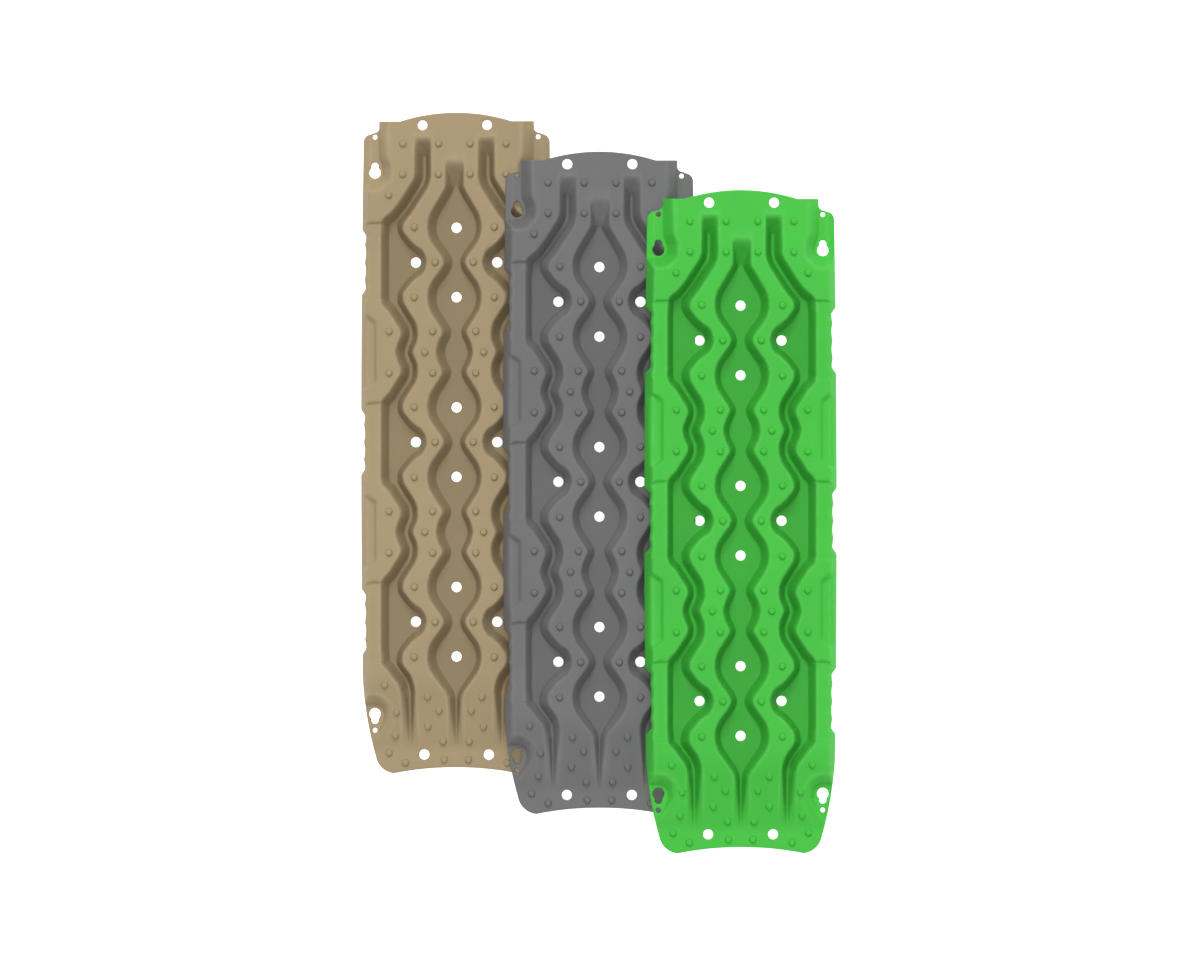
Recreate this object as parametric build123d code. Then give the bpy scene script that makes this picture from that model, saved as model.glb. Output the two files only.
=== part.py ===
from build123d import *
import math
import os

# Three moulded traction boards, each leaning on the one before it.
# Millimetres. X is across the boards, Y along them to the arched end, Z up from the ground.
# The origin is under the middle of the sand board, on the ground.

# Driving dimensions of one board
board_length = 1085.0       # arched end to notched end
board_width = 316.2         # over the side skirts at the widest place
ridge_height = 34.0         # ground to ridge tops
wall = 4.0                  # moulded thickness
channel_lean = 12.0         # a channel wall leans out this far between floor and ridge top
skirt_lean = 12.0           # a side skirt leans in this far between ground and ridge top
arched_end = 98.9           # plate beyond the three rows at the arched end
notched_end = 102.0         # plate beyond the three rows at the notched end
arch_rise = 14.3            # rise of the arched end above its shoulders
notch_rise = 10.0           # hollow of the notched end
arched_droop = 7.0          # the arched end is this much lower than the ridges
droop_length = 110.0        # and comes down over this length
flat_end = 41.0             # flat plate at the notched end
ramp_length = 111.0         # ridges run down to the flat plate over this length
middle_rise = 31.0          # extra length of the ramped end of the middle channel
lead_rise = 19.0            # and of the two channels beside it

# Grips, recesses and corner flanges
grip_half = 44.0            # half length of the raised edge of the skirt at a grip
grip_blend = 10.0           # length over which the edge comes back down to the ground
grip_step = 4.0             # the strip over a grip is this much lower
finger_gap = 18.5           # ground to the raised edge of the skirt
scallop_pitch = 28.6        # one finger
scallop_depth = 2.0
recess_depth = 8.0          # stepped recess between grips
recess_lean = 3.0

# Holes and studs
hole_bore = 17.0            # through holes in the channel floors and the end plates
centre_hole_y = 57.0        # centre-line holes from the middle of their row
side_hole_x = 67.2          # side holes from the centre line
key_bore = 19.2             # wide part of a keyhole
key_slot = 12.4             # narrow part of a keyhole
key_offset = 10.3           # between the two centres of a keyhole
lanyard_bore = 8.2
key_x = 134.7               # keyholes and lanyard holes from the centre line
key_edge = (98.7, 98.0)     # keyholes from the arched and the notched end
lanyard_edge = (40.3, 71.2)
end_hole_x = 53.2           # end holes from the centre line
end_hole_edge = 24.0        # end holes from the end edges
stud_base = 14.0
stud_top = 9.0
stud_height = 5.0

# How the boards lie
board_steps = [(0.0, 0.0), (237.6, -65.2), (232.5, -63.6)]   # across and along, each from the board before
rest_gap = 0.3              # clearance where one board lies on another
board_names = ["board_sand", "board_grey", "board_green"]

# The tread is drawn for a board this wide with rows this far apart, and stretches with both
drawn_width = 316.2
drawn_pitch = 294.7

half_width = board_width / 2
row_pitch = (board_length - arched_end - notched_end) / 3
rows = [-row_pitch, 0.0, row_pitch]
top_y = 1.5 * row_pitch + arched_end
bottom_y = -1.5 * row_pitch - notched_end
across = board_width / drawn_width
along = row_pitch / drawn_pitch
floor_z = wall                              # top of the channel floors and of the flat plates
depth = ridge_height - floor_z
wall_side = wall * math.hypot(1.0, channel_lean / depth)        # channel wall, measured level
skirt_side = wall * math.hypot(1.0, skirt_lean / ridge_height)  # skirt, measured level
above = ridge_height + stud_height + 20.0   # higher than anything on the board
ramp_end = bottom_y + flat_end
ramp_start = ramp_end + ramp_length


def spot(x, y, row=0.0):
    """A point of the drawn tread beside a row, on the stretched board."""
    return (x * across, row + y * along)


def grow(points, amount):
    """Move the sides of a counter-clockwise outline outward by amount."""
    moved = []
    for i, (x, y) in enumerate(points):
        ax, ay = points[i - 1]
        bx, by = points[(i + 1) % len(points)]
        before = math.hypot(x - ax, y - ay)
        after = math.hypot(bx - x, by - y)
        n1 = ((y - ay) / before, (ax - x) / before)
        n2 = ((by - y) / after, (x - bx) / after)
        share = amount / (1.0 + n1[0] * n2[0] + n1[1] * n2[1])
        moved.append((x + (n1[0] + n2[0]) * share, y + (n1[1] + n2[1]) * share))
    return moved


def flared(points, low, high, lean_low, lean_high, end_y=None, end_reach=0.0):
    """A cutter whose outline grows from lean_low at low to lean_high at high."""
    lower = grow(points, lean_low)
    upper = grow(points, lean_high)
    if end_y is not None:
        rise = high - floor_z
        lower = [(x, y + end_reach * (low - floor_z) / depth) if points[i][1] >= end_y else (x, y)
                 for i, (x, y) in enumerate(lower)]
        upper = [(x, y + end_reach * rise / depth) if points[i][1] >= end_y else (x, y)
                 for i, (x, y) in enumerate(upper)]
    wires = [Wire.make_polygon([(x, y, z) for x, y in ring], close=True)
             for ring, z in ((lower, low), (upper, high))]
    return Solid.make_loft(wires, ruled=True)


def channel_cut(points, inside, end_y=None, end_reach=0.0):
    """Cut for a channel: its open side, or with inside the space its walls leave below."""
    lean = channel_lean / depth
    low, high = (-1.0, ridge_height + 1.0) if inside else (floor_z, above)
    extra = wall_side if inside else 0.0
    return flared(points, low, high, extra + lean * (low - floor_z), extra + lean * (high - floor_z),
                  end_y, end_reach)


def both_sides(points):
    """Right-hand outline and its mirror, both counter-clockwise."""
    return [points, [(-x, y) for x, y in reversed(points)]]


def ribbon(line, half):
    """Outline of a strip along a line of points that runs toward the notched end."""
    left, right = [], []
    for i, (x, y) in enumerate(line):
        ax, ay = line[max(i - 1, 0)]
        bx, by = line[min(i + 1, len(line) - 1)]
        size = math.hypot(bx - ax, by - ay)
        nx, ny = (by - ay) / size * half, (ax - bx) / size * half
        left.append((x - nx, y - ny))
        right.append((x + nx, y + ny))
    return right + left[::-1]


def centre_channel():
    """Outline of the middle channel's floor, and where its ramped end starts."""
    end_y = top_y - 122.0
    side = [(3.5, end_y), spot(3.5, 119.5, rows[2])]
    for row in reversed(rows):
        side += [spot(33, 70, row), spot(33, 45, row), spot(6, 8, row)]
        side += [spot(6, -8, row), spot(33, -45, row), spot(33, -70, row)]
        if row > rows[0]:
            middle = row - row_pitch / 2
            side += [spot(5.2, 33.9, middle), spot(19, 7.3, middle)]
            side += [spot(19, -7.3, middle), spot(5.2, -33.9, middle)]
    side += [spot(1.2, -117, rows[0]), (1.2, ramp_end - 2.0)]
    return [(-x, y) for x, y in side] + side[::-1], end_y


def side_channels():
    """Outlines of the right-hand channel's floor: pockets, zigzags and end grooves."""
    shapes = []
    for row in rows:
        inner = [(97.7, 60), (97.7, 52), (92, 40), (70, 15), (57.5, 12)]
        low_side = [(x, -y) for x, y in reversed(inner)]
        pocket = inner + low_side + [(104.5, -66), (111, -59.5), (111, 59.5), (104.5, 66)]
        shapes.append([spot(x, y, row) for x, y in pocket])
    for row in rows[1:]:
        middle = row - row_pitch / 2
        zigzag = [(106, 91), (90.4, 64), (69.1, 32.5), (83.2, 6.5)]
        zigzag += [(x, -y) for x, y in reversed(zigzag)]
        shapes.append(ribbon([spot(x, y, middle) for x, y in zigzag], 2.6))
    tail = [spot(x, y, rows[0]) for x, y in ((105, -62), (92.5, -83), (77, -101))]
    tail.append((75.5 * across, ramp_end - 2.0))
    shapes.append(ribbon(tail, 1.6))
    return shapes


def lead_in():
    """Outline of the straight lead of the right-hand channel, and where its ramped end starts."""
    end_y = top_y - 71.0
    line = [(52.4 * across, end_y)]
    line += [spot(x, y, rows[2]) for x, y in ((52.4, 134.2), (82.8, 86.7), (105, 60))]
    return ribbon(line, 2.2), end_y - 1.0


def corner_recesses():
    """Outlines of the low corners that hold the keyholes."""
    out = half_width + 40.0
    arched = [(128 * across, top_y + 20), (128 * across, top_y - 75), (121 * across, top_y - 92),
              (122 * across, top_y - 104), (130 * across, top_y - 111), (out, top_y - 111),
              (out, top_y + 20)]
    notched = [(130 * across, bottom_y + 113), (121 * across, bottom_y + 106),
               (119 * across, bottom_y + 92), (124 * across, bottom_y + 78), (140 * across, bottom_y + 52),
               (out, bottom_y + 40), (out, bottom_y + 113)]
    return [arched, notched]


def outline():
    """Plan outline of the board at the ground."""
    shoulder_y = top_y - arch_rise

    def edge_spot(x, y):
        return (x * across, y)

    right = [
        ThreePointArc((0, top_y), edge_spot(46, top_y - 0.25 * arch_rise), edge_spot(92, shoulder_y)),
        Line(edge_spot(92, shoulder_y), edge_spot(128.2, shoulder_y)),
        Line(edge_spot(128.2, shoulder_y), edge_spot(128.2, shoulder_y - 12)),
        ThreePointArc(edge_spot(128.2, shoulder_y - 12), edge_spot(131.7, shoulder_y - 17.2),
                      edge_spot(137.7, shoulder_y - 19)),
        Line(edge_spot(137.7, shoulder_y - 19), edge_spot(141.1, shoulder_y - 20.8)),
        ThreePointArc(edge_spot(141.1, shoulder_y - 20.8), edge_spot(150.6, shoulder_y - 25.5),
                      edge_spot(154.1, shoulder_y - 36)),
        ThreePointArc(edge_spot(154.1, shoulder_y - 36), (half_width, -0.05 * board_length),
                      edge_spot(155.4, bottom_y + 156)),
        ThreePointArc(edge_spot(155.4, bottom_y + 156), edge_spot(147.6, bottom_y + 88),
                      edge_spot(133.6, bottom_y + 28)),
        ThreePointArc(edge_spot(133.6, bottom_y + 28), edge_spot(122.1, bottom_y + 8),
                      edge_spot(103, bottom_y)),
        ThreePointArc(edge_spot(103, bottom_y), edge_spot(51.5, bottom_y + 0.76 * notch_rise),
                      (0, bottom_y + notch_rise)),
    ]
    edges = Curve() + right
    return make_face(edges + mirror(edges, Plane.YZ))


def skirt_wedge(inset, y_from, y_to):
    """Wedge outside the right-hand skirt plane, with the plane moved in by inset."""
    foot = half_width - inset
    head = foot - skirt_lean * above / ridge_height
    low = foot + skirt_lean / ridge_height
    out = half_width + 60
    ring = Wire.make_polygon([(low, y_from, -1), (out, y_from, -1), (out, y_from, above),
                              (head, y_from, above)], close=True)
    return Solid.extrude(Face(ring), Vector(0, y_to - y_from, 0))


def right_skirt(inside):
    """Everything outside the right-hand skirt, or with inside outside its inner face."""
    base = skirt_side if inside else 0.0
    cuts = [skirt_wedge(base, bottom_y - 10, top_y + 10)]
    if inside:
        for row in rows:
            reach = grip_half + grip_blend
            cuts.append(skirt_wedge(base + scallop_depth, row - reach, row + reach))
    return cuts


def finger_gaps():
    """Gaps under the raised edge of the right-hand skirt."""
    cuts = []
    end = grip_half + grip_blend * (1 + 2 / finger_gap)
    for row in rows:
        ring = [(row - end, -2), (row + end, -2), (row + grip_half, finger_gap),
                (row - grip_half, finger_gap)]
        wire = Wire.make_polygon([(half_width - 25, y, z) for y, z in ring], close=True)
        cuts.append(Solid.extrude(Face(wire), Vector(60, 0, 0)))
    return cuts


def scallops():
    """Finger scallops in the right-hand skirt at each grip."""
    tilt = math.degrees(math.atan(skirt_lean / ridge_height))
    radius = (scallop_pitch ** 2 / 4 + scallop_depth ** 2) / (2 * scallop_depth)
    cuts = []
    for row in rows:
        stretch = Pos(half_width, row, 0) * Box(half_width, 2 * grip_half, 3 * ridge_height)
        for step in (-1.5, -0.5, 0.5, 1.5):
            foot = (half_width - scallop_depth, row + step * scallop_pitch, 0)
            finger = Location(foot, (0, -tilt, 0)) * Pos(radius, 0, 0) * Cylinder(radius, 4 * ridge_height)
            cuts.append(finger & stretch)
    return cuts


def surface_cuts(inside):
    """Right-hand recesses and steps in the top surface, or with inside the same under the wall."""
    drop = wall if inside else 0.0
    reach = ridge_height + 1.0 if inside else above
    extra = wall_side if inside else 0.0
    out = half_width + 40.0
    cuts = [channel_cut(points, inside) for points in corner_recesses()]
    for row in rows[1:]:
        middle = row - row_pitch / 2
        low = ridge_height - recess_depth - drop
        ledge = [spot(133, -47.5, middle), spot(153, -61, middle), (out, middle - 61 * along),
                 (out, middle + 61 * along), spot(153, 61, middle), spot(133, 47.5, middle)]
        lean = recess_lean / recess_depth * (reach - low)
        cuts.append(flared(ledge, low, reach, extra, extra + lean))
    for row in rows:
        low = ridge_height - grip_step - drop
        strip = [spot(112, -65, row), spot(141, -65, row), spot(150, -58, row), (out, row - 50 * along),
                 (out, row + 50 * along), spot(150, 58, row), spot(141, 65, row), spot(112, 65, row)]
        cuts.append(flared(strip, low, reach, extra, extra + 0.5))
    return cuts


def end_slopes(drop):
    """What lies above the ramp and above the drooping arched end, lowered by drop."""
    wide = board_width + 100.0
    rise_rate = depth / ramp_length
    ramp = [(ramp_start + 20 / rise_rate, ridge_height + 20), (ramp_end, floor_z), (bottom_y - 30, floor_z),
            (bottom_y - 30, above + 20), (ramp_start + 20 / rise_rate, above + 20)]
    droop_rate = arched_droop / droop_length
    droop_from = top_y - droop_length - 20 / droop_rate
    droop = [(top_y + 20, ridge_height - arched_droop - 20 * droop_rate), (top_y + 20, above + 20),
             (droop_from, above + 20), (droop_from, ridge_height + 20)]
    cuts = []
    for ring in (ramp, droop):
        wire = Wire.make_polygon([(-wide / 2, y, z - drop) for y, z in ring], close=True)
        cuts.append(Solid.extrude(Face(wire), Vector(wide, 0, 0)))
    return cuts


def holes():
    """Through holes of the whole board."""
    tall = 3 * above
    cuts = []
    for row in rows:
        for side in (-1, 1):
            cuts.append(Pos(0, row + side * centre_hole_y * along, 0) * Cylinder(hole_bore / 2, tall))
            cuts.append(Pos(side * side_hole_x * across, row, 0) * Cylinder(hole_bore / 2, tall))
    for side in (-1, 1):
        x = side * key_x * across
        for y in (top_y - end_hole_edge + 2.4, bottom_y + end_hole_edge + 7.5):
            cuts.append(Pos(side * end_hole_x * across, y, 0) * Cylinder(hole_bore / 2, tall))
        for y, toward in ((top_y - key_edge[0], 1), (bottom_y + key_edge[1], -1)):
            cuts.append(Pos(x, y, 0) * Cylinder(key_bore / 2, tall))
            cuts.append(Pos(x, y + toward * key_offset, 0) * Cylinder(key_slot / 2, tall))
        for y in (top_y - lanyard_edge[0], bottom_y + lanyard_edge[1]):
            cuts.append(Pos(x, y, 0) * Cylinder(lanyard_bore / 2, tall))
    return cuts


def surface_z(y):
    """Height of the ridge tops at a place along the board."""
    if y < ramp_start:
        return max(floor_z, ridge_height - (ramp_start - y) * depth / ramp_length)
    return ridge_height - max(0.0, (y - top_y + droop_length) * arched_droop / droop_length)


def stud_spots():
    """Places of the right-hand studs."""
    spots = [(85 * across, top_y - 52), (26 * across, top_y - 52), (85 * across, top_y - 102),
             (26 * across, top_y - 102), (108 * across, top_y - 136)]
    for row in rows:
        spots += [spot(66, 57.5, row), spot(66, -57.5, row), spot(31.5, 0, row)]
    for row in rows[1:]:
        middle = row - row_pitch / 2
        spots += [spot(48.5, 0, middle)]
        for y in (-34, 34):
            spots += [spot(107.5, y, middle), spot(35.5, y, middle)]
    for x, up in ((115, 146), (45, 127), (97, 101), (26.5, 104), (46, 78), (100, 63), (21.5, 53),
                  (111, 34), (84, 18), (20, 23)):
        spots.append((x * across, bottom_y + up))
    return spots


def studs():
    """All the studs of a board."""
    slope = (stud_base - stud_top) / 2 / stud_height
    sunk = 2.5
    shapes = []
    for x, y in stud_spots():
        for side in (-1, 1):
            place = Pos(side * x, y, surface_z(y) + (stud_height - sunk) / 2)
            shapes.append(place * Cone(stud_base / 2 + slope * sunk, stud_top / 2, stud_height + sunk))
    return shapes


def make_board():
    """One board in its own frame: under its middle, on the ground."""
    middle, middle_end = centre_channel()
    lead, lead_end = lead_in()
    shape = outline()
    outer = extrude(shape, ridge_height)
    hollow = Pos(0, 0, -1) * extrude(offset(shape, -wall), ridge_height - wall + 1)
    for inside in (False, True):
        cuts = [channel_cut(middle, inside, middle_end, middle_rise)]
        for points in both_sides(lead):
            cuts.append(channel_cut(points, inside, lead_end, lead_rise))
        for points in side_channels():
            cuts += [channel_cut(half, inside) for half in both_sides(points)]
        right = right_skirt(inside) + surface_cuts(inside)
        cuts += right + [mirror(cut, Plane.YZ) for cut in right]
        cuts += end_slopes(wall if inside else 0.0)
        if inside:
            hollow = hollow - cuts
        else:
            outer = outer - cuts
    right = scallops() + finger_gaps()
    body = (outer + studs()) - hollow
    return body - right - [mirror(cut, Plane.YZ) for cut in right] - holes()


def lean_angle(step, lower_angle, lower_height):
    """Angle at which a board rests with one rim on the ground and its underside on the board below."""
    supports = [(half_width - skirt_lean, ridge_height),
                (108.0 * across + stud_top / 2, ridge_height + stud_height)]
    angle = 0.0
    for _ in range(40):
        rim = step + half_width * math.cos(angle)
        slopes = []
        for x, z in supports:
            high = lower_height - x * math.sin(lower_angle) + z * math.cos(lower_angle)
            reach = x * math.cos(lower_angle) + z * math.sin(lower_angle)
            slopes.append((high + rest_gap) / (rim - reach))
        angle = math.atan(max(slopes))
    return angle


board = make_board()
os.makedirs("parts", exist_ok=True)
x, y, height, angle = 0.0, 0.0, 0.0, 0.0
for name, (step_across, step_along) in zip(board_names, board_steps):
    if step_across > 0:
        angle = lean_angle(step_across, angle, height)
        height = half_width * math.sin(angle)
    x += step_across
    y += step_along
    placed = Location((x, y, height), (0, math.degrees(angle), 0)) * board
    export_step(placed, f"parts/{name}.step")
    print(name, "leans", round(math.degrees(angle), 4), "degrees")
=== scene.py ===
import math
import bmesh
import bpy
import numpy as np
from mathutils import Matrix, Vector


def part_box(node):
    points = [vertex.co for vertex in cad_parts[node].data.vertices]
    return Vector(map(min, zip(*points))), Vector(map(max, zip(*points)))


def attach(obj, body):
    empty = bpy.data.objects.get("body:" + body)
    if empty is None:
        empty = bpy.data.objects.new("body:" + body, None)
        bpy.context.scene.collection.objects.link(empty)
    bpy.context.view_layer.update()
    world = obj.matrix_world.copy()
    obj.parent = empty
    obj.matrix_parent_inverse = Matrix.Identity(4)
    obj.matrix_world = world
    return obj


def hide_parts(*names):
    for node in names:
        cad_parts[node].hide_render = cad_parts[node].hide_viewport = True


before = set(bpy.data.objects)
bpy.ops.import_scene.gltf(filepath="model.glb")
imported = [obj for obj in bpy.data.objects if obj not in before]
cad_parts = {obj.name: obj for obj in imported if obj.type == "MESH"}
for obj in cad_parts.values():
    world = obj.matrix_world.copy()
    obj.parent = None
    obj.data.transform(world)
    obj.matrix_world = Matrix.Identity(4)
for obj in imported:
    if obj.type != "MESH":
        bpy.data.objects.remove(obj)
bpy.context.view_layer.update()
mm = 0.001

sandLow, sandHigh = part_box("board_sand")

size = {                       # millimetres, the same moulding for all three boards
    "width": (sandHigh[0] - sandLow[0]) / mm,
    "topY": sandHigh[1] / mm,
    "bottomY": sandLow[1] / mm,
    "rowPitch": 294.7,
    "ridge": 34.0,
    "wall": 4.0,
    "rimHeight": 2.6,
    "rimInset": 0.5,
    "channelLean": 12.0,       # how far a wall leans out over its height
    "skirtLean": 12.0,
    "archRise": 14.3,
    "notchRise": 10.0,
    "droop": 7.0,              # how far the ridges sink towards the arched end
    "droopLength": 110.0,
    "noseSlope": 16.0,         # steepness of the end wall under the arched edge
    "noseRounding": 5.0,
    "rampEnd": 41.0,           # flat plate between the notched end and the ramp
    "rampLength": 111.0,
    "cornerSoftness": 0.9,     # how far the mould rounds the corners of the channels in plan
    "lobeRounding": 9.0,       # rounding where a side pocket meets a zigzag channel
    "cornerEase": 0.68,        # the walls of the low corners lean out further than the channel walls
    "crest": 4.5,              # rounding of the ridge edges
    "root": 2.2,               # rounding at the foot of the channel walls
    "underRounding": 3.0,      # the same on the underside
    "edgeRadius": 1.3,         # outline and hole rims
    "cell": 4.0,               # plan mesh before it is cut along the channel edges
    "thinnest": 0.8,           # least thickness left anywhere
}

gripSizes = {
    "half": 44.0,
    "blend": 10.0,
    "raise": 18.5,             # the skirt's lower edge over a finger gap
    "step": 4.0,               # the strip over a grip lies this much lower
    "stepBlend": 0.8,
    "recessDepth": 8.0,
    "recessBlend": 6.0,
    "scallopPitch": 28.6,
    "scallopDepth": 2.0,
}

holeSizes = {
    "round": 8.5,              # radii
    "keyWide": 9.6,
    "keyNarrow": 6.2,
    "keyOffset": 10.3,
    "cord": 4.1,
}

halfWidth = size["width"] / 2
topY = size["topY"]
bottomY = size["bottomY"]
pitch = size["rowPitch"]
rows = [-pitch, 0.0, pitch]
middles = [-pitch / 2, pitch / 2]
floorZ = size["wall"]
depth = size["ridge"] - floorZ
channelSlope = depth / size["channelLean"]
skirtSlope = (size["ridge"] - size["rimHeight"]) / size["skirtLean"]
channelShift = size["wall"] * (math.hypot(1, 1 / channelSlope) - 1 / channelSlope)
skirtShift = size["wall"] * math.hypot(1, 1 / skirtSlope)
rampEnd = bottomY + size["rampEnd"]
rampStart = rampEnd + size["rampLength"]
shoulder = topY - size["archRise"]
archEndX, tongueX, notchEndX = 92.0, 128.2, 103.0
notchCorner = (halfWidth - 24.5, bottomY + 28)
keyholeX = 134.7


# plan shapes are drawn for the right-hand half

def arcPoints(start, through, end, count):
    (ax, ay), (bx, by), (cx, cy) = start, through, end
    d = 2 * (ax * (by - cy) + bx * (cy - ay) + cx * (ay - by))
    sa, sb, sc = ax * ax + ay * ay, bx * bx + by * by, cx * cx + cy * cy
    ox = (sa * (by - cy) + sb * (cy - ay) + sc * (ay - by)) / d
    oy = (sa * (cx - bx) + sb * (ax - cx) + sc * (bx - ax)) / d
    radius = math.hypot(ax - ox, ay - oy)
    first = math.atan2(ay - oy, ax - ox)
    last = math.atan2(cy - oy, cx - ox)
    turn = (last - first + math.pi) % (2 * math.pi) - math.pi
    angles = [first + turn * i / count for i in range(count + 1)]
    return [(ox + radius * math.cos(a), oy + radius * math.sin(a)) for a in angles]


def sideCurve():
    # the long side as if it had no grips, from the arched corner to the notched corner
    upper = (halfWidth - 4, shoulder - 36)
    lower = (halfWidth - 2.7, bottomY + 156)
    bow = arcPoints(upper, (halfWidth, -0.05 * (topY - bottomY)), lower, 440)
    tuck = arcPoints(lower, (halfWidth - 10.5, bottomY + 88), notchCorner, 40)
    return bow + tuck[1:]


side = sideCurve()
sideY = np.array([p[1] for p in side])[::-1]
sideX = np.array([p[0] for p in side])[::-1]


def nearestRow(y):
    return y - np.round(np.clip(y / pitch, -1, 1)) * pitch


def gripShare(y):
    # 1 along a grip, falling to 0 at its ends
    reach = gripSizes["half"] + gripSizes["blend"]
    return np.clip((reach - np.abs(nearestRow(y))) / gripSizes["blend"], 0, 1)


def scallop(y):
    # one arc for each finger
    pitchY, deep = gripSizes["scallopPitch"], gripSizes["scallopDepth"]
    radius = (pitchY ** 2 / 4 + deep ** 2) / (2 * deep)
    across = (nearestRow(y) + 2 * pitchY) % pitchY - pitchY / 2
    return (deep - radius + np.sqrt(radius ** 2 - across ** 2)) * gripShare(y)


def raisedEdge(y):
    return gripSizes["raise"] * gripShare(y)


def skirtLine(y):
    return np.interp(y, sideY, sideX) - scallop(y)


def archCurve():
    return arcPoints((0, topY), (archEndX / 2, topY - size["archRise"] / 4), (archEndX, shoulder), 24)


def outlineRing():
    ring = archCurve()
    ring += [(tongueX, shoulder)]
    ring += arcPoints((tongueX, shoulder - 12), (tongueX + 3.5, shoulder - 17.2),
                      (tongueX + 9.5, shoulder - 19), 6)
    ring += arcPoints((halfWidth - 17, shoulder - 20.8), (halfWidth - 7.5, shoulder - 25.5),
                      (halfWidth - 4, shoulder - 36), 10)
    for x, y in side[1:]:
        inset = float(scallop(np.float64(y)) + raisedEdge(np.float64(y)) * size["skirtLean"] / size["ridge"])
        ring.append((x - inset, y))
    ring += arcPoints(notchCorner, (halfWidth - 36, bottomY + 8), (notchEndX, bottomY), 14)[1:]
    ring += arcPoints((notchEndX, bottomY), (notchEndX / 2, bottomY + 0.76 * size["notchRise"]),
                      (0, bottomY + size["notchRise"]), 24)[1:]
    return ring + [(-20, bottomY + size["notchRise"]), (-20, topY)]


def noseLine(x):
    # the arched end edge, for the end wall
    arc = archCurve()
    return np.interp(x, [p[0] for p in arc], [p[1] for p in arc])


def ribbon(line, half):
    # a strip of that half width along a line
    left, right = [], []
    for i, (x, y) in enumerate(line):
        ax, ay = line[max(i - 1, 0)]
        bx, by = line[min(i + 1, len(line) - 1)]
        length = math.hypot(bx - ax, by - ay)
        nx, ny = (by - ay) / length * half, (ax - bx) / length * half
        left.append((x - nx, y - ny))
        right.append((x + nx, y + ny))
    return right + left[::-1]


def mirrored(line):
    # a line carried on through its mirror image about y = 0
    return line + [(x, -y) for x, y in reversed(line)]


def rounded(line, closed=False, cut=11.0):
    # takes the corners off a line twice over
    for _ in range(2):
        count = len(line)
        result = [] if closed else [line[0]]
        for i in range(0 if closed else 1, count if closed else count - 1):
            here = line[i]
            for other in (line[i - 1], line[(i + 1) % count]):
                length = math.dist(here, other)
                share = min(cut, 0.35 * length) / length
                result.append(tuple(h + (o - h) * share for h, o in zip(here, other)))
        line = result if closed else result + [line[-1]]
        cut /= 2.4
    return line


def beside(line, y):
    return [(px, py + y) for px, py in line]


def centreFloor():
    endY = topY - 122
    floor = [(3.5, endY), (3.5, rows[2] + 119.5)]
    for row in reversed(rows):
        floor += beside(mirrored([(33, 70), (33, 45), (6, 8)]), row)
        if row > rows[0]:
            floor += beside(mirrored([(5.2, 33.9), (19, 7.3)]), row - pitch / 2)
    floor += [(1.2, rows[0] - 117), (1.2, rampEnd - 2)]
    ring = rounded(floor, cut=6.5) + [(-20, rampEnd - 2), (-20, endY)]
    return [(ring, (0.0, 3.5, endY, 43.0))]


def sideShapes():
    # floor outlines; a ramped end adds where its slot lies, its half width, its start and its length
    shapes = []
    leadEnd = topY - 71
    lead = [(52.4, leadEnd), (52.4, rows[2] + 134.2), (82.8, rows[2] + 86.7), (105, rows[2] + 60)]
    shapes.append((ribbon(rounded(lead, cut=6.0), 2.2), (52.4, 2.2, leadEnd, 31.0)))
    pocket = mirrored([(97.7, 60), (97.7, 52), (92, 40), (70, 15), (57.5, 12)])
    pocket += [(104.5, -66), (111, -59.5), (111, 59.5), (104.5, 66)]
    zigzag = mirrored([(106, 91), (90.4, 64), (69.1, 32.5), (83.2, 6.5)])
    shapes += [(beside(rounded(pocket, closed=True), row), None) for row in rows]
    shapes += [(ribbon(beside(rounded(zigzag), middle), 2.6), None) for middle in middles]
    tail = [(105, rows[0] - 62), (92.5, rows[0] - 83), (77, rows[0] - 101), (75.5, rampEnd - 2)]
    return shapes + [(ribbon(rounded(tail), 1.6), None)]


def cornerShapes():
    # the low flanges with the keyholes
    out = halfWidth + 40
    shapes = [([(128, topY + 20), (128, topY - 75), (121, topY - 92), (122, topY - 104), (130, topY - 111),
                (out, topY - 111), (out, topY + 20)], None)]
    shapes.append(([(130, bottomY + 113), (121, bottomY + 106), (119, bottomY + 92), (124, bottomY + 78),
                    (140, bottomY + 52), (out, bottomY + 40), (out, bottomY + 113)], None))
    return shapes


def gripStrips():
    out = halfWidth + 40
    strip = [(112, 65), (141, 65), (150, 58), (out, 50)]
    return [beside(mirrored(strip), row) for row in rows]


def sideRecesses():
    out = halfWidth + 40
    recess = [(133, 47.5), (153, 61), (out, 61)]
    return [beside(mirrored(recess), middle) for middle in middles]


def roundHoles():
    # centre and radius of every hole on the right-hand half
    r = holeSizes["round"]
    spots = [(0, row + y, r) for row in rows for y in (-57, 57)]
    spots += [(67.2, row, r) for row in rows]
    spots += [(53.2, topY - 21.6, r), (53.2, bottomY + 31.5, r)]
    for y, toward in ((topY - 98.7, 1), (bottomY + 98.0, -1)):
        spots.append((keyholeX, y, holeSizes["keyWide"]))
        spots.append((keyholeX, y + toward * holeSizes["keyOffset"], holeSizes["keyNarrow"]))
    spots += [(keyholeX, topY - 40.3, holeSizes["cord"]), (keyholeX, bottomY + 71.2, holeSizes["cord"])]
    return spots


def studSpots():
    spots = [(85, topY - 52), (26, topY - 52), (85, topY - 102), (26, topY - 102), (108, topY - 136)]
    for row in rows:
        spots += beside([(66, 57.5), (66, -57.5), (31.5, 0)], row)
    for middle in middles:
        spots += beside([(48.5, 0), (107.5, -34), (107.5, 34), (35.5, -34), (35.5, 34)], middle)
    for x, up in ((115, 146), (45, 127), (97, 101), (26.5, 104), (46, 78), (100, 63), (21.5, 53),
                  (111, 34), (84, 18), (20, 23)):
        spots.append((x, bottomY + up))
    return spots + [(-x, y) for x, y in spots]


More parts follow.
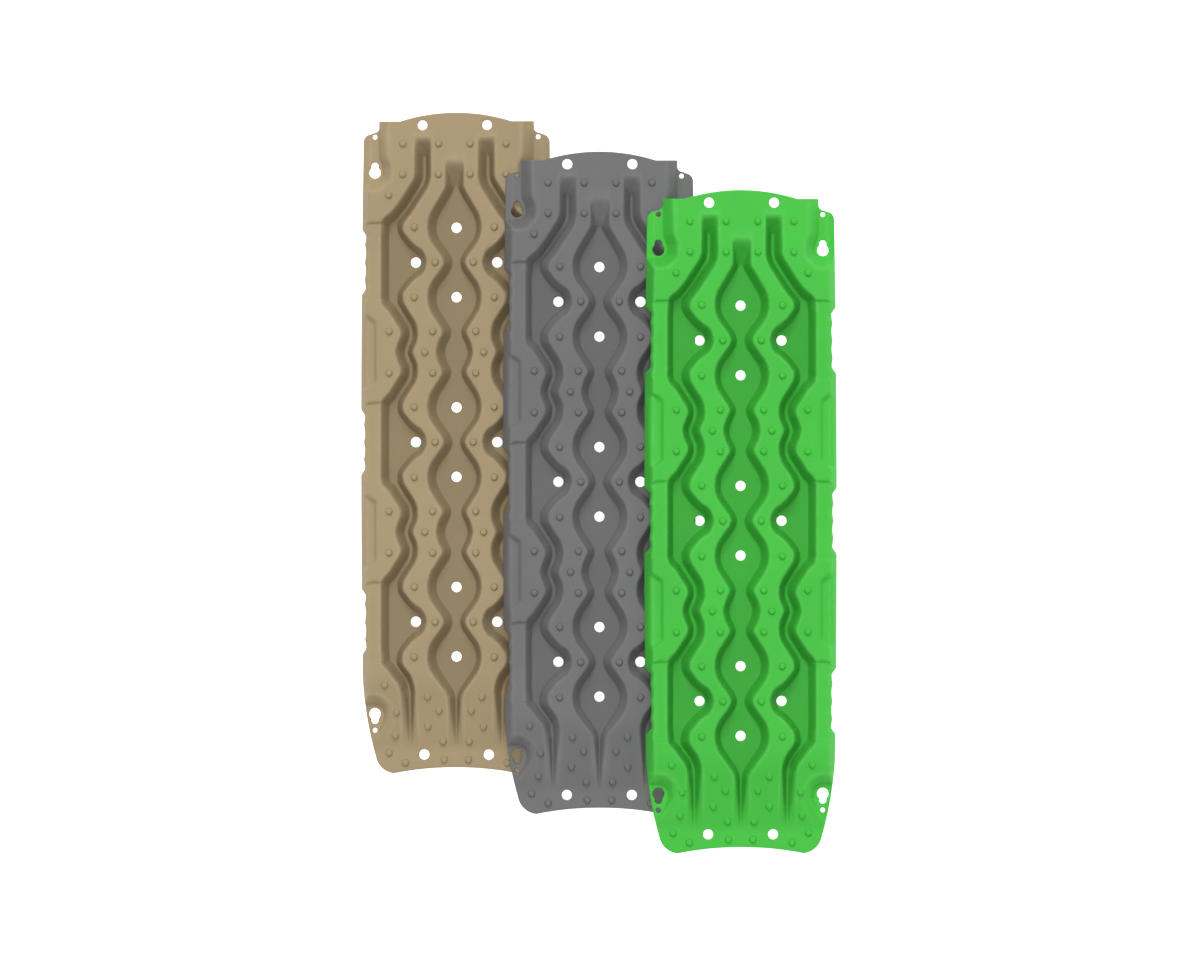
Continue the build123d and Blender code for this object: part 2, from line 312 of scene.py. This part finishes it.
def signedDistance(ring, x, y):
    # distance to a closed ring, negative inside it
    best = np.full(x.shape, 1e12)
    inside = np.zeros(x.shape, bool)
    for (ax, ay), (bx, by) in zip(ring, ring[1:] + ring[:1]):
        dx, dy = bx - ax, by - ay
        t = np.clip(((x - ax) * dx + (y - ay) * dy) / (dx * dx + dy * dy + 1e-12), 0, 1)
        best = np.minimum(best, (x - ax - t * dx) ** 2 + (y - ay - t * dy) ** 2)
        if ay != by:
            inside ^= ((ay > y) != (by > y)) & (x < dx * (y - ay) / dy + ax)
    best = np.sqrt(best)
    return np.where(inside, -best, best)


def smoothMin(a, b, k):
    # the smaller of two heights, rounded over k where they cross
    h = np.clip((k - np.abs(a - b)) / np.maximum(k, 1e-6), 0, 1)
    return np.minimum(a, b) - h * h * k / 4


def smoothMax(a, b, k):
    return -smoothMin(-a, -b, k)


def nearestShape(shapes, join=0.0):
    # distance to the nearest of the shapes, with a slot's ramped end drawn out along y
    def distance(x, y):
        best = np.full(x.shape, 1e3)
        for ring, ramp in shapes:
            away = signedDistance(ring, x, y)
            if ramp:
                slotX, half, endY, reach = ramp
                beyond = np.maximum(np.abs(x - slotX) - half, (y - endY) * size["channelLean"] / reach)
                away = np.where(y > endY, beyond, away)
            best = smoothMin(best, away, join)
        return best
    return distance


def blurRows(values, sigma):
    reach = int(math.ceil(sigma * 3))
    kernel = np.exp(-0.5 * (np.arange(-reach, reach + 1) / sigma) ** 2)
    kernel /= kernel.sum()
    padded = np.pad(values, ((0, 0), (reach, reach)), mode="edge")
    return sum(k * padded[:, i:i + values.shape[1]] for i, k in enumerate(kernel))


def gridField(distance, blur=0.0, step=1.5):
    # the distance worked out once on a fine grid, softened, and read back anywhere
    xs = np.arange(-15.0, halfWidth + 15, step)
    ys = np.arange(bottomY - 15, topY + 15, step)
    gx, gy = np.meshgrid(xs, ys)
    values = distance(np.abs(gx.ravel()), gy.ravel()).reshape(gx.shape)
    if blur > 0:
        values = blurRows(blurRows(values, blur / step).T, blur / step).T

    def sample(x, y):
        u = np.clip((np.abs(x) - xs[0]) / step, 0, len(xs) - 1.001)
        v = np.clip((y - ys[0]) / step, 0, len(ys) - 1.001)
        i, j = u.astype(int), v.astype(int)
        u, v = u - i, v - j
        low = values[j, i] * (1 - u) + values[j, i + 1] * u
        high = values[j + 1, i] * (1 - u) + values[j + 1, i + 1] * u
        return low * (1 - v) + high * v
    return sample


centreDistance = gridField(nearestShape(centreFloor()), blur=size["cornerSoftness"])
sideDistance = gridField(nearestShape(sideShapes(), join=size["lobeRounding"]), blur=size["cornerSoftness"])
cornerDistance = gridField(nearestShape(cornerShapes()), blur=size["cornerSoftness"] * 2.5)
stripDistance = gridField(nearestShape([(ring, None) for ring in gripStrips()]), blur=1.2)
recessDistance = gridField(nearestShape([(ring, None) for ring in sideRecesses()]), blur=1.2)
insideOutline = gridField(lambda x, y: -signedDistance(outlineRing(), x, y), step=1.0)
print("distance fields ready")


def innerDistance(x, y):
    # to the floors of the channels inside the skirt
    return np.minimum(centreDistance(x, y), sideDistance(x, y))


def channelDistance(x, y):
    return np.minimum(innerDistance(x, y), cornerDistance(x, y) * size["cornerEase"])


def holeDistance(x, y):
    best = np.full(x.shape, 1e12)
    for cx, cy, r in roundHoles():
        best = np.minimum(best, np.hypot(np.abs(x) - cx, y - cy) - r)
    return best


def outlineDistance(x, y):
    return insideOutline(x, y) - size["rimInset"]


def edgeDistance(x, y):
    return np.minimum(outlineDistance(x, y), holeDistance(x, y))


def skirtDistance(x, y):
    return skirtLine(y) - np.abs(x)


def noseDistance(x, y):
    return noseLine(np.abs(x)) - y


def smoothStep(t):
    t = np.clip(t, 0, 1)
    return t * t * (3 - 2 * t)


def ridgeLine(y):
    ramp = floorZ + (y - rampEnd) * depth / size["rampLength"]
    line = smoothMax(smoothMin(ramp, np.full(y.shape, size["ridge"]), 5.0), np.full(y.shape, floorZ), 2.0)
    beyond = y - (topY - size["droopLength"])
    return line - size["droop"] * np.clip(beyond / size["droopLength"], 0, 1) ** 1.3


def steps(x, y, grow):
    # the lower strips over the grips and the recesses between them
    blend, ease = gripSizes["stepBlend"], gripSizes["recessBlend"]
    strip = gripSizes["step"] * smoothStep((grow + blend - stripDistance(x, y)) / (2 * blend))
    recess = gripSizes["recessDepth"] * smoothStep((grow + ease - recessDistance(x, y)) / (ease + 1))
    return np.maximum(strip, recess)


def rounding(x, y):
    # how much lower the skin is near a rim
    r = size["edgeRadius"]
    near = np.clip(r - edgeDistance(x, y), 0, r)
    return r - np.sqrt(r * r - near * near)


def topHeight(x, y):
    ridge = ridgeLine(y) - steps(x, y, 0)
    ridge = smoothMin(ridge, size["rimHeight"] + noseDistance(x, y) * size["noseSlope"], size["noseRounding"])
    room = np.clip((ridge - floorZ) * 0.5, 0.01, size["crest"])
    walls = smoothMax(np.full(x.shape, floorZ), floorZ + channelDistance(x, y) * channelSlope, size["root"])
    z = smoothMin(walls, ridge, room)
    z = smoothMin(z, size["rimHeight"] + skirtDistance(x, y) * skirtSlope, np.minimum(room * 1.3, 6.0))
    return z - rounding(x, y)


def underHeight(x, y):
    wall = size["wall"]
    ridge = ridgeLine(y) - steps(x, y, 1.6) - wall
    soft = size["underRounding"]
    ridge = smoothMin(ridge, (noseDistance(x, y) - wall) * size["noseSlope"], soft + 1)
    room = np.clip(ridge * 0.5, 0.01, soft)
    walls = smoothMax(np.zeros(x.shape), (channelDistance(x, y) - channelShift) * channelSlope, soft)
    z = smoothMin(walls, ridge, room)
    skirt = np.maximum((skirtDistance(x, y) - skirtShift) * skirtSlope, raisedEdge(y))
    z = smoothMin(z, skirt, 0.01)
    return np.maximum(z, 0) + rounding(x, y) * 0.6


# the plan sheet is a grid, cut along every edge of the shape

def coordinates(bm):
    co = np.array([v.co[:] for v in bm.verts])
    return co[:, 0], co[:, 1]


def cutAlong(bm, field, level, locked, clear=False):
    # puts a row of vertices exactly on one contour of a field
    x, y = coordinates(bm)
    value = field(x, y) - level
    e = 0.4
    gx = (field(x + e, y) - field(x - e, y)) / (2 * e)
    gy = (field(x, y + e) - field(x, y - e)) / (2 * e)
    steep = np.maximum(gx * gx + gy * gy, 0.05)
    free = np.array([not v[locked] for v in bm.verts]) & (x > 1e-4)
    near = free & (np.abs(value) / np.sqrt(steep) < size["cell"] * 0.22)
    x = np.where(near, np.maximum(x - value * gx / steep, 0), x)
    y = np.where(near, y - value * gy / steep, y)
    value = np.where(near, 0, value)
    for v, px, py, pz, n in zip(bm.verts, x, y, value, near):
        v.co = (px, py, pz)
        if n:
            v[locked] = 1
    geometry = bm.verts[:] + bm.edges[:] + bm.faces[:]
    cut = bmesh.ops.bisect_plane(bm, geom=geometry, dist=0.02, plane_co=(0, 0, 0), plane_no=(0, 0, 1),
                                 clear_inner=clear)
    for item in cut["geom_cut"]:
        if isinstance(item, bmesh.types.BMVert):
            item[locked] = 1
    for v in bm.verts:
        v.co.z = 0
    splitLarge(bm)


def splitLarge(bm):
    # faces with more than four corners would not cut cleanly
    bmesh.ops.triangulate(bm, faces=[f for f in bm.faces if len(f.verts) > 4])


def refine(bm, field):
    # smaller cells where a field is negative
    centres = np.array([f.calc_center_median()[:2] for f in bm.faces])
    small = field(centres[:, 0], centres[:, 1]) < 0
    faces = [f for f, wanted in zip(bm.faces, small) if wanted]
    edges = list({e for f in faces for e in f.edges})
    bmesh.ops.subdivide_edges(bm, edges=edges, cuts=2, use_grid_fill=True)
    splitLarge(bm)


def fineAreas(x, y):
    # around the holes, the tight corners of the outline and the ends of the grips
    area = holeDistance(x, y) - 3
    for cx, cy, r in ((tongueX, shoulder, 6), (tongueX + 3, shoulder - 16, 9), (152, shoulder - 27, 15),
                      (archEndX, shoulder, 5), (122, bottomY + 12, 24)):
        area = np.minimum(area, np.hypot(x - cx, y - cy) - r)
    for row in rows:
        for end in (-1, 1):
            area = np.minimum(area, np.hypot(x - halfWidth + 3, y - row - end * 49) - 12)
    return area


def planArea(face):
    # negative where a triangle is turned over
    a, b, c = (v.co for v in face.verts)
    return ((b.x - a.x) * (c.y - a.y) - (b.y - a.y) * (c.x - a.x)) / 2


def turnEdge(bm, edge):
    # joins the other two corners of the two triangles beside an edge
    loop, other = edge.link_loops
    a, c = loop.vert, loop.link_loop_next.vert
    d = loop.link_loop_prev.vert
    b = other.link_loop_prev.vert
    if not bm.edges.get((b, d)):
        bm.edges.remove(edge)
        bm.faces.new((a, b, d))
        bm.faces.new((b, c, d))


def unfold(bm):
    # a triangle that came out flat or turned over gets its long edge turned, or goes if that is the rim
    flat = 2e-4
    for attempt in range(6):
        folded = [f for f in bm.faces if planArea(f) < flat]
        for face in folded:
            if face.is_valid:
                longest = max(face.edges, key=lambda e: e.calc_length())
                if len(longest.link_faces) == 2:
                    turnEdge(bm, longest)
                else:
                    bmesh.ops.delete(bm, geom=[face], context="FACES")
    bmesh.ops.delete(bm, geom=[v for v in bm.verts if not v.link_faces], context="VERTS")


def planSheet():
    cell = size["cell"]
    columns = int(math.ceil((halfWidth + 4) / cell))         # 4 mm spare on every side
    count = int(math.ceil((topY - bottomY + 8) / cell))
    bm = bmesh.new()
    locked = bm.verts.layers.int.new("locked")
    verts = [[bm.verts.new((i * cell, bottomY - 4 + j * cell, 0)) for i in range(columns + 1)]
             for j in range(count + 1)]
    for j in range(count):
        for i in range(columns):
            bm.faces.new((verts[j][i], verts[j][i + 1], verts[j + 1][i + 1], verts[j + 1][i]))
    refine(bm, fineAreas)
    cutAlong(bm, outlineDistance, 0, locked, clear=True)
    cutAlong(bm, holeDistance, 0, locked, clear=True)
    # each level is a foot, a crest or the start or end of a rounding
    lean, crest = size["channelLean"], size["crest"] / channelSlope
    for level in (0.0, lean, 0.9, lean - crest, -0.9, lean + crest, lean * 0.47, lean + 2.6 * crest, -3.4):
        cutAlong(bm, channelDistance, level, locked)
    lean = size["skirtLean"]
    for level in (lean, lean - 2.2, lean + 2.2, 5.0):
        cutAlong(bm, skirtDistance, level, locked)
    for level in (0.5, size["edgeRadius"] + 0.1):
        cutAlong(bm, edgeDistance, level, locked)
    for level in (1.6, 3.2, 5.6, 7.6):
        cutAlong(bm, noseDistance, level, locked)
    for level in (-gripSizes["stepBlend"], gripSizes["stepBlend"]):
        cutAlong(bm, stripDistance, level, locked)
    for level in (-1.0, 2.5, gripSizes["recessBlend"]):
        cutAlong(bm, recessDistance, level, locked)
    for level in (rampStart - 8, rampStart + 8, rampEnd - 6, rampEnd + 6):
        cutAlong(bm, lambda x, y: y, level, locked)
    bmesh.ops.triangulate(bm, faces=bm.faces[:], quad_method="BEAUTY", ngon_method="BEAUTY")
    bmesh.ops.dissolve_degenerate(bm, dist=0.02, edges=bm.edges[:])
    bmesh.ops.triangulate(bm, faces=[f for f in bm.faces if len(f.verts) > 3])
    x, y = snapToHoles(*coordinates(bm))
    for v, vx, vy in zip(bm.verts, x, y):
        v.co.x, v.co.y = vx, vy
    unfold(bm)
    bm.verts.index_update()
    x, y = coordinates(bm)
    faces = np.array([[v.index for v in f.verts] for f in bm.faces])
    bm.free()
    return x, y, faces


def snapToHoles(x, y):
    # the rims of the holes become true circles
    for cx, cy, r in roundHoles():
        away = np.hypot(x - cx, y - cy)
        others = np.full(x.shape, 1e12)
        for ox, oy, orad in roundHoles():
            if (ox, oy, orad) != (cx, cy, r):
                others = np.minimum(others, np.hypot(x - ox, y - oy) - orad)
        on = (np.abs(away - r) < 0.3) & (others > 0.3)
        x = np.where(on, cx + (x - cx) * r / np.maximum(away, 1e-6), x)
        y = np.where(on, cy + (y - cy) * r / np.maximum(away, 1e-6), y)
    return x, y


def wholeSheet():
    # both halves, sharing the points on the middle line
    x, y, faces = planSheet()
    x = np.where(np.abs(x) < 1e-3, 0, x)
    moved = np.where(x > 0)[0]
    partner = np.arange(len(x))
    partner[moved] = len(x) + np.arange(len(moved))
    x = np.concatenate([x, -x[moved]])
    y = np.concatenate([y, y[moved]])
    return x, y, np.concatenate([faces, partner[faces][:, ::-1]])


def rimEdges(faces):
    # the edges that only one triangle has
    edges = np.concatenate([faces[:, [0, 1]], faces[:, [1, 2]], faces[:, [2, 0]]])
    key = np.sort(edges, axis=1)
    _, first, count = np.unique(key, axis=0, return_index=True, return_counts=True)
    return edges[first[count == 1]]


def wearAndPaintedShade(x, y):
    # where the upper skin is a worn crest, and where the channel walls and floors get painted shade (the grey
    # board's walls are painted paler instead, as painted light)
    crestAt = size["channelLean"] + 0.5
    tall = np.clip((ridgeLine(y) - floorZ) / 12, 0, 1)       # none on the ramp's low end
    wear = np.exp(-((channelDistance(x, y) - crestAt) / 2.2) ** 2)
    wear = np.maximum(wear, np.exp(-((skirtDistance(x, y) - crestAt) / 2.5) ** 2)) * tall
    # painted shade masks: floors covers the channel floors, walls the channel walls up to the crest
    away = innerDistance(x, y)
    floors = smoothStep((3.0 - away) / 4) * tall
    walls = smoothStep((crestAt - away) / 5) * tall - floors
    return wear, walls, floors


def pressBoard():
    # upper and lower skin over the same plan, joined round every rim
    x, y, faces = wholeSheet()
    top = np.maximum(topHeight(x, y), 1.0)
    under = np.clip(underHeight(x, y), 0, top - size["thinnest"])
    count = len(x)
    verts = np.concatenate([np.stack([x, y, top], 1), np.stack([x, y, under], 1)]) * mm
    rim = rimEdges(faces)
    sides = np.stack([rim[:, 1], rim[:, 0], rim[:, 0] + count, rim[:, 1] + count], 1)
    mesh = bpy.data.meshes.new("pressedBoard")
    mesh.from_pydata(verts.tolist(), [], faces.tolist() + (faces[:, ::-1] + count).tolist() + sides.tolist())
    mesh.validate()
    mesh.shade_smooth()
    # wear marks real crest wear; walls and floors are the masks for the painted shade in the channels
    for name, values in zip(("wear", "walls", "floors"), wearAndPaintedShade(x, y)):
        layer = mesh.attributes.new(name, "FLOAT", "POINT")
        layer.data.foreach_set("value", np.concatenate([values, values * 0]).astype(np.float32))
    print("board pressed:", len(mesh.vertices), "vertices,", 2 * (len(faces) + len(sides)), "triangles")
    return mesh


# studs, placed on the pressed board by geometry nodes

studSizes = {"foot": 7.3, "waist": 5.9, "head": 4.2, "height": 5.0, "sides": 16}


def studShape():
    s = studSizes
    h = s["height"]
    profile = [(s["foot"], -0.5), (s["foot"] - 1.1, 0.25), (s["waist"], 1.0), (s["head"] + 0.5, h - 1.1),
               (s["head"] - 0.3, h - 0.25), (s["head"] - 1.3, h)]
    bm = bmesh.new()
    rings = []
    for r, z in profile:
        ring = []
        for i in range(s["sides"]):
            a = 2 * math.pi * i / s["sides"]
            ring.append(bm.verts.new((r * mm * math.cos(a), r * mm * math.sin(a), z * mm)))
        rings.append(ring)
    for low, high in zip(rings, rings[1:]):
        for i in range(s["sides"]):
            j = (i + 1) % s["sides"]
            bm.faces.new((low[i], low[j], high[j], high[i]))
    bm.faces.new(rings[-1])
    mesh = bpy.data.meshes.new("studShape")
    bm.to_mesh(mesh)
    bm.free()
    mesh.shade_smooth()
    return bpy.data.objects.new("studShape", mesh)


def studTree(material):
    tree = bpy.data.node_groups.new("boardStuds", "GeometryNodeTree")
    face = tree.interface
    face.new_socket("Spots", in_out="INPUT", socket_type="NodeSocketGeometry")
    face.new_socket("Board", in_out="INPUT", socket_type="NodeSocketObject")
    face.new_socket("Stud", in_out="INPUT", socket_type="NodeSocketObject")
    face.new_socket("Stud scale", in_out="INPUT", socket_type="NodeSocketFloat").default_value = 1.0
    face.new_socket("Scale variation", in_out="INPUT", socket_type="NodeSocketFloat").default_value = 0.0
    face.new_socket("Studs", in_out="OUTPUT", socket_type="NodeSocketGeometry")
    nodes, link = tree.nodes, tree.links.new
    start = nodes.new("NodeGroupInput")
    end = nodes.new("NodeGroupOutput")
    boardInfo = nodes.new("GeometryNodeObjectInfo")
    studInfo = nodes.new("GeometryNodeObjectInfo")
    facing = nodes.new("GeometryNodeInputNormal")
    nearest = nodes.new("GeometryNodeSampleNearestSurface")
    nearest.data_type = "FLOAT_VECTOR"
    turn = nodes.new("FunctionNodeAlignRotationToVector")
    turn.axis = "Z"
    copies = nodes.new("GeometryNodeInstanceOnPoints")
    vary = nodes.new("FunctionNodeRandomValue")
    vary.inputs["Seed"].default_value = 7
    low = nodes.new("ShaderNodeMath")
    low.operation = "SUBTRACT"
    high = nodes.new("ShaderNodeMath")
    high.operation = "ADD"
    realize = nodes.new("GeometryNodeRealizeInstances")
    paint = nodes.new("GeometryNodeSetMaterial")
    paint.inputs["Material"].default_value = material
    link(start.outputs["Board"], boardInfo.inputs["Object"])
    link(start.outputs["Stud"], studInfo.inputs["Object"])
    link(boardInfo.outputs["Geometry"], nearest.inputs["Mesh"])
    link(facing.outputs["Normal"], next(i for i in nearest.inputs if i.name == "Value" and i.enabled))
    link(start.outputs["Spots"], copies.inputs["Points"])
    link(studInfo.outputs["Geometry"], copies.inputs["Instance"])
    link(next(o for o in nearest.outputs if o.name == "Value" and o.enabled), turn.inputs["Vector"])
    link(turn.outputs["Rotation"], copies.inputs["Rotation"])
    link(start.outputs["Stud scale"], low.inputs[0])
    link(start.outputs["Scale variation"], low.inputs[1])
    link(start.outputs["Stud scale"], high.inputs[0])
    link(start.outputs["Scale variation"], high.inputs[1])
    link(low.outputs[0], vary.inputs[2])
    link(high.outputs[0], vary.inputs[3])
    link(vary.outputs[1], copies.inputs["Scale"])
    link(copies.outputs["Instances"], realize.inputs["Geometry"])
    link(realize.outputs["Geometry"], paint.inputs["Geometry"])
    link(paint.outputs["Geometry"], end.inputs["Studs"])
    return tree


def setInput(modifier, name, value):
    for item in modifier.node_group.interface.items_tree:
        if item.item_type == "SOCKET" and item.in_out == "INPUT" and item.name == name:
            modifier[item.identifier] = value


def studMesh(boardMesh, material):
    boardObject = bpy.data.objects.new("studTarget", boardMesh)
    stud = studShape()
    spots = bpy.data.meshes.new("studSpots")
    x, y = np.array(studSpots()).T
    spots.from_pydata((np.stack([x, y, topHeight(x, y)], 1) * mm).tolist(), [], [])
    holder = bpy.data.objects.new("studSpots", spots)
    for item in (boardObject, stud, holder):
        bpy.context.scene.collection.objects.link(item)
    modifier = holder.modifiers.new("studs", "NODES")
    modifier.node_group = studTree(material)
    setInput(modifier, "Board", boardObject)
    setInput(modifier, "Stud", stud)
    setInput(modifier, "Stud scale", 1.0)
    setInput(modifier, "Scale variation", 0.0)
    graph = bpy.context.evaluated_depsgraph_get()
    mesh = bpy.data.meshes.new_from_object(holder.evaluated_get(graph), depsgraph=graph)
    for item in (holder, stud, boardObject):
        bpy.data.objects.remove(item)
    print("studs set:", len(mesh.polygons), "faces")
    return mesh


# moulded plastic: walls and floors give the painted shade in the channels, how much darker their walls and
# floors are painted; below 0 they are painted paler, as painted light

finishes = {
    "sand": {"base": (0.345, 0.265, 0.150), "worn": (0.43, 0.35, 0.23),
             "walls": 0.19, "floors": 0.25, "seed": 3.0},
    "grey": {"base": (0.148, 0.148, 0.149), "worn": (0.20, 0.20, 0.20),
             "walls": -0.24, "floors": 0.13, "seed": 11.0},
    "green": {"base": (0.053, 0.475, 0.048), "worn": (0.12, 0.56, 0.11),
              "walls": 0.21, "floors": 0.25, "seed": 23.0},
}
plasticLook = {
    "roughness": 0.65,
    "specular": 0.22,
    "mottle": 0.05,            # slow colour drift over the board
    "mottleScale": 6.0,
    "speck": 0.03,             # fine grain in the colour
    "speckScale": 1400.0,
    "scuff": 0.55,             # most of the worn colour that shows on a crest
    "scuffScale": 70.0,
    "sheenScale": 240.0,       # patches of smoother and rougher skin
    "grainBump": 0.12,
    "grainScale": 900.0,
    "grainDepth": 0.0004,      # metres
}


def mouldedPlastic(name, look):
    kind = plasticLook
    material = bpy.data.materials.new(name)
    material.use_nodes = True
    nodes, link = material.node_tree.nodes, material.node_tree.links.new
    shader = nodes["Principled BSDF"]
    shader.inputs["Specular IOR Level"].default_value = kind["specular"]
    place = nodes.new("ShaderNodeTexCoord")
    offset = nodes.new("ShaderNodeMapping")
    offset.inputs["Location"].default_value = (look["seed"], look["seed"] * 0.7, 0)
    link(place.outputs["Object"], offset.inputs["Vector"])

    def noise(scale, detail, rough=0.5):
        node = nodes.new("ShaderNodeTexNoise")
        node.inputs["Scale"].default_value = scale
        node.inputs["Detail"].default_value = detail
        node.inputs["Roughness"].default_value = rough
        link(offset.outputs["Vector"], node.inputs["Vector"])
        return node

    def remap(source, low, high):
        node = nodes.new("ShaderNodeMapRange")
        node.inputs["From Min"].default_value = 0.25
        node.inputs["From Max"].default_value = 0.75
        node.inputs["To Min"].default_value = low
        node.inputs["To Max"].default_value = high
        link(source, node.inputs["Value"])
        return node.outputs["Result"]

    def multiply(a, b):
        node = nodes.new("ShaderNodeMath")
        node.operation = "MULTIPLY"
        link(a, node.inputs[0])
        link(b, node.inputs[1])
        return node.outputs[0]

    drift = noise(kind["mottleScale"], 3.0)
    speck = noise(kind["speckScale"], 2.0, 0.7)
    brightness = multiply(remap(drift.outputs["Fac"], 1 - kind["mottle"], 1 + kind["mottle"]),
                          remap(speck.outputs["Fac"], 1 - kind["speck"], 1 + kind["speck"]))
    paintedShade = None
    # painted shade: the channel walls and floors are darkened in the colour, or made paler as painted light
    # where the amount is below 0
    for part in ("walls", "floors"):
        share = nodes.new("ShaderNodeAttribute")
        share.attribute_name = part
        darker = nodes.new("ShaderNodeMath")
        darker.operation = "MULTIPLY_ADD"
        darker.inputs[1].default_value = -look[part]
        darker.inputs[2].default_value = 1.0
        link(share.outputs["Fac"], darker.inputs[0])
        if paintedShade:
            link(paintedShade, darker.inputs[2])
        paintedShade = darker.outputs[0]
    brightness = multiply(brightness, paintedShade)
    wear = nodes.new("ShaderNodeAttribute")
    wear.attribute_name = "wear"
    scuff = remap(noise(kind["scuffScale"], 5.0, 0.65).outputs["Fac"], 0.0, kind["scuff"])
    wornShare = multiply(wear.outputs["Fac"], scuff)
    blend = nodes.new("ShaderNodeMix")
    blend.data_type = "RGBA"
    blend.inputs[6].default_value = (*look["base"], 1)
    blend.inputs[7].default_value = (*look["worn"], 1)
    link(wornShare, blend.inputs[0])
    shade = nodes.new("ShaderNodeVectorMath")
    shade.operation = "SCALE"
    link(blend.outputs[2], shade.inputs[0])
    link(brightness, shade.inputs["Scale"])
    link(shade.outputs[0], shader.inputs["Base Color"])
    sheen = noise(kind["sheenScale"], 3.0)
    rough = remap(sheen.outputs["Fac"], kind["roughness"] - 0.06, kind["roughness"] + 0.08)
    link(rough, shader.inputs["Roughness"])
    grain = nodes.new("ShaderNodeBump")
    grain.inputs["Strength"].default_value = kind["grainBump"]
    grain.inputs["Distance"].default_value = kind["grainDepth"]
    link(noise(kind["grainScale"], 3.0, 0.6).outputs["Fac"], grain.inputs["Height"])
    link(grain.outputs["Normal"], shader.inputs["Normal"])
    return material


def boardPlace(node):
    # the lean follows from how much narrower the leaning board's box is
    low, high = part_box(node)
    lean = math.acos(min(1.0, (high[0] - low[0]) / (size["width"] * mm)))
    x = (low[0] + high[0]) / 2
    y = high[1] - topY * mm
    z = halfWidth * mm * math.sin(lean)
    return Matrix.Translation((x, y, z)) @ Matrix.Rotation(lean, 4, "Y")


def addPiece(name, mesh, material, colour):
    piece = bpy.data.objects.new(name, mesh)
    bpy.context.scene.collection.objects.link(piece)
    mesh.materials.clear()
    mesh.materials.append(material)
    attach(piece, f"{colour}_board")
    return piece


def buildBoards():
    shell = pressBoard()
    studs = None
    for colour, look in finishes.items():
        material = mouldedPlastic(f"{colour}Plastic", look)
        if studs is None:
            studs = studMesh(shell, material)
        place = boardPlace(f"board_{colour}")
        for label, source in (("shell", shell), ("studs", studs)):
            mesh = source.copy()
            mesh.transform(place)
            mesh.update()
            piece = addPiece(f"{colour}_{label}", mesh, material, colour)
            if label == "shell":
                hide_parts(f"board_{colour}")
    print("boards placed")


studio = {
    "floorSize": 30.0,
    "floorColour": (0.93, 0.93, 0.93),
    "floorGlow": 0.6,          # a light table, so that the ground stays white under the boards
    "worldStrength": 0.44,     # world, fill and key are given as brightness of a level white surface
    "fillLight": 0.40,         # along the view, down into the channels
    "fillSoftness": 6.0,       # degrees
    "keyLight": 0.32,
    "keyHeight": 48.0,         # degrees above the floor, from the arched ends
    "keySoftness": 22.0,
    "cameraDistance": 20.0,
    "cameraLean": 6.0,         # degrees off straight down, square to the boards
    "cameraShift": (0.0016, 0.0045, 0.0262),       # from the ground under the grey board's middle
    "viewWidth": 1.964,        # metres across the picture at the grey board
}


def addStudio():
    mesh = bpy.data.meshes.new("floor")
    half = studio["floorSize"] / 2
    corners = [(-half, -half, 0), (half, -half, 0), (half, half, 0), (-half, half, 0)]
    mesh.from_pydata(corners, [], [(0, 1, 2, 3)])
    floor = bpy.data.objects.new("floor", mesh)
    bpy.context.scene.collection.objects.link(floor)
    paint = bpy.data.materials.new("floorPaint")
    paint.use_nodes = True
    shader = paint.node_tree.nodes["Principled BSDF"]
    shader.inputs["Base Color"].default_value = (*studio["floorColour"], 1)
    shader.inputs["Roughness"].default_value = 0.9
    shader.inputs["Specular IOR Level"].default_value = 0.1
    shader.inputs["Emission Color"].default_value = (1, 1, 1, 1)
    shader.inputs["Emission Strength"].default_value = studio["floorGlow"]
    mesh.materials.append(paint)

    world = bpy.data.worlds.new("studio")
    world.use_nodes = True
    world.node_tree.nodes["Background"].inputs["Color"].default_value = (1, 1, 1, 1)
    world.node_tree.nodes["Background"].inputs["Strength"].default_value = studio["worldStrength"]
    bpy.context.scene.world = world

    keyAngle = math.radians(90 - studio["keyHeight"])
    viewAngle = math.radians(studio["cameraLean"])
    addSun("key", studio["keyLight"], studio["keySoftness"], keyAngle, (-keyAngle, 0, 0))
    addSun("fill", studio["fillLight"], studio["fillSoftness"], viewAngle, (0, viewAngle, 0))


def addSun(name, brightness, softness, fromZenith, turn):
    lamp = bpy.data.lights.new(name, "SUN")
    lamp.energy = brightness * math.pi / math.cos(fromZenith)
    lamp.angle = math.radians(softness)
    sun = bpy.data.objects.new(name, lamp)
    sun.location = (0, 0, 3)
    sun.rotation_euler = turn
    bpy.context.scene.collection.objects.link(sun)


def addCamera():
    low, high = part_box("board_grey")
    lean = math.radians(studio["cameraLean"])
    middle = Vector(((low[0] + high[0]) / 2, (low[1] + high[1]) / 2, 0))
    target = middle + Vector(studio["cameraShift"])
    lens = bpy.data.cameras.new("camera")
    lens.sensor_width = 36
    lens.lens = 36 * studio["cameraDistance"] / studio["viewWidth"]
    camera = bpy.data.objects.new("camera", lens)
    away = Vector((math.sin(lean), 0, math.cos(lean)))
    camera.location = target + away * studio["cameraDistance"]
    right = Vector((math.cos(lean), 0, -math.sin(lean)))
    camera.rotation_euler = Matrix((right, (0, 1, 0), away)).transposed().to_euler()
    bpy.context.scene.collection.objects.link(camera)
    bpy.context.scene.camera = camera


buildBoards()
addStudio()
addCamera()
bpy.context.scene.view_settings.view_transform = "Standard"
print("scene ready")
